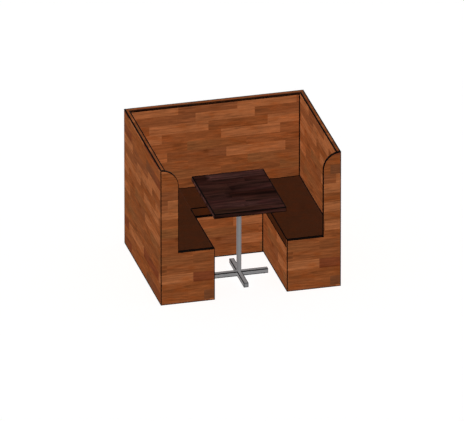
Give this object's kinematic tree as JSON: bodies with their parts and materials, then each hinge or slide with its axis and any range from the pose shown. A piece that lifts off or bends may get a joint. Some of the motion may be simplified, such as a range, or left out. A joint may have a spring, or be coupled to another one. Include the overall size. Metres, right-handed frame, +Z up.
{
  "type": "restaurant booth seating",
  "caption": "U-shaped restaurant booth with strip-wood panelled walls, upholstered bench seats and a pedestal table standing between them.",
  "frame": {"origin": "on the floor, at the middle of the booth's width and depth", "axes": "+X to the right seen from the open front, +Y from the open front to the back wall, +Z up"},
  "size_m": [1.5, 1.22, 1.2],
  "materials": {
    "strip_wood": "strip-laminated reddish-brown hardwood, satin lacquer",
    "plywood": "plain birch plywood",
    "softwood": "planed softwood",
    "beech": "turned beech",
    "seat_leather": "dark brown leather, matt",
    "table_wood": "very dark brown stained wood, satin",
    "pedestal_metal": "mid grey powder coat",
    "cap_plastic": "mid grey moulded plastic",
    "foot_plastic": "black moulded plastic",
    "zinc_steel": "zinc-plated steel"
  },
  "bodies": {
    "booth": {"back_deck_bearers": "softwood", "back_fascia": "strip_wood", "back_seat_deck": "plywood", "back_seat_ribs": "plywood", "back_wall_cap": "strip_wood", "back_wall_frame": "softwood", "back_wall_inner_skin": "strip_wood", "back_wall_outer_skin": "strip_wood", "deck_screws": "zinc_steel", "end_panel_dowels": "beech", "end_panel_screws": "zinc_steel", "left_deck_bearers": "softwood", "left_end_panel": "strip_wood", "left_fascia": "strip_wood", "left_seat_deck": "plywood", "left_seat_ribs": "plywood", "left_wall_cap": "strip_wood", "left_wall_frame": "softwood", "left_wall_inner_skin": "strip_wood", "left_wall_outer_skin": "strip_wood", "leveller_nuts": "zinc_steel", "right_deck_bearers": "softwood", "right_end_panel": "strip_wood", "right_fascia": "strip_wood", "right_seat_deck": "plywood", "right_seat_ribs": "plywood", "right_wall_cap": "strip_wood", "right_wall_frame": "softwood", "right_wall_inner_skin": "strip_wood", "right_wall_outer_skin": "strip_wood", "sole_rails": "softwood", "wall_bolts": "zinc_steel"},
    "table": {"table_top": "table_wood", "table_top_plate": "pedestal_metal", "table_top_screws": "zinc_steel", "column_tube": "pedestal_metal", "column_tie_rod": "zinc_steel", "tie_rod_nut": "zinc_steel", "foot_arm_long": "pedestal_metal", "foot_arm_front": "pedestal_metal", "foot_arm_back": "pedestal_metal", "foot_end_caps": "cap_plastic", "glide_nuts": "zinc_steel"},
    "left_cushion": {"left_cushion_pad": "seat_leather", "left_cushion_board": "plywood", "left_cushion_pegs": "beech"},
    "right_cushion": {"right_cushion_pad": "seat_leather", "right_cushion_board": "plywood", "right_cushion_pegs": "beech"},
    "back_cushion": {"back_cushion_pad": "seat_leather", "back_cushion_board": "plywood", "back_cushion_pegs": "beech"},
    "leveller_front_left_body": {"leveller_front_left": "foot_plastic"},
    "leveller_front_right_body": {"leveller_front_right": "foot_plastic"},
    "leveller_back_left_body": {"leveller_back_left": "foot_plastic"},
    "leveller_back_right_body": {"leveller_back_right": "foot_plastic"},
    "glide_left_body": {"glide_left": "foot_plastic"},
    "glide_right_body": {"glide_right": "foot_plastic"},
    "glide_front_body": {"glide_front": "foot_plastic"},
    "glide_back_body": {"glide_back": "foot_plastic"}
  },
  "joints": [
    {"name": "table_pull_out", "type": "slide", "parent": "booth", "child": "table", "axis": [0, -1, 0], "range_m": [0, 0.8]},
    {"name": "left_cushion_lift", "type": "slide", "parent": "booth", "child": "left_cushion", "axis": [0, 0, 1], "range_m": [0, 0.1]},
    {"name": "right_cushion_lift", "type": "slide", "parent": "booth", "child": "right_cushion", "axis": [0, 0, 1], "range_m": [0, 0.1]},
    {"name": "back_cushion_lift", "type": "slide", "parent": "booth", "child": "back_cushion", "axis": [0, 0, 1], "range_m": [0, 0.1]},
    {"name": "leveller_front_left_screw", "type": "slide", "parent": "booth", "child": "leveller_front_left_body", "axis": [0, 0, -1], "range_m": [0, 0.012]},
    {"name": "leveller_front_right_screw", "type": "slide", "parent": "booth", "child": "leveller_front_right_body", "axis": [0, 0, -1], "range_m": [0, 0.012]},
    {"name": "leveller_back_left_screw", "type": "slide", "parent": "booth", "child": "leveller_back_left_body", "axis": [0, 0, -1], "range_m": [0, 0.012]},
    {"name": "leveller_back_right_screw", "type": "slide", "parent": "booth", "child": "leveller_back_right_body", "axis": [0, 0, -1], "range_m": [0, 0.012]},
    {"name": "glide_left_screw", "type": "slide", "parent": "table", "child": "glide_left_body", "axis": [0, 0, -1], "range_m": [0, 0.01]},
    {"name": "glide_right_screw", "type": "slide", "parent": "table", "child": "glide_right_body", "axis": [0, 0, -1], "range_m": [0, 0.01]},
    {"name": "glide_front_screw", "type": "slide", "parent": "table", "child": "glide_front_body", "axis": [0, 0, -1], "range_m": [0, 0.01]},
    {"name": "glide_back_screw", "type": "slide", "parent": "table", "child": "glide_back_body", "axis": [0, 0, -1], "range_m": [0, 0.01]}
  ]
}
